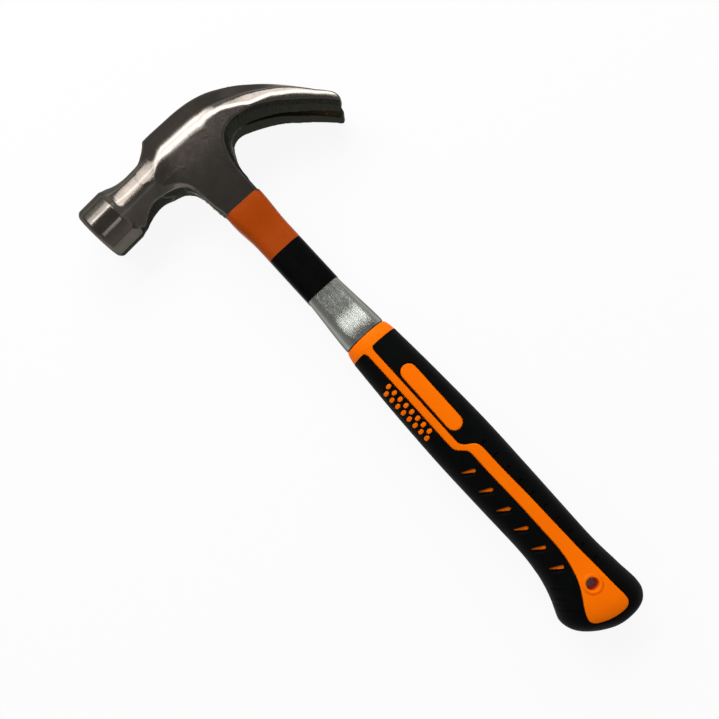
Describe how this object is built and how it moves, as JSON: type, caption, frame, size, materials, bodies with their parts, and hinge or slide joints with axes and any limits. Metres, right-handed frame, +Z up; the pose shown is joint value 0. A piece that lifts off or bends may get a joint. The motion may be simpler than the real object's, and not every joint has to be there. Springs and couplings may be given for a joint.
{
  "type": "claw hammer",
  "caption": "Claw hammer: forged head with a faceted bell and curved claws on a tubular steel handle, with a two-colour moulded grip and a hang hole.",
  "frame": {"origin": "on the ground, under the centre of the box round the hammer as it lies on its side", "axes": "+X along the handle from the butt to the crown of the head, +Y across it towards the striking face, +Z up through the thickness"},
  "size_m": [0.336, 0.1383, 0.0318],
  "materials": {
    "forged_steel": "dark forged steel, ground and polished along the edges, clear lacquer",
    "tube_steel": "drawn tube, fine brushing along the handle",
    "wedge_steel": "plain mild steel",
    "hardwood": "raw hardwood, grain along the handle",
    "printed_film": "printed film, orange above and black below",
    "orange_plastic": "satin moulded plastic",
    "black_rubber": "soft matt overmould",
    "grey_plastic": "moulded plastic"
  },
  "bodies": {
    "root": {"head": "forged_steel", "handle_tube": "tube_steel", "socket_plug": "hardwood", "fox_wedge": "wedge_steel", "label_sleeve": "printed_film", "grip_core": "orange_plastic", "grip_cover": "black_rubber", "hang_eyelet": "orange_plastic", "tube_end_cap": "grey_plastic"}
  },
  "joints": []
}
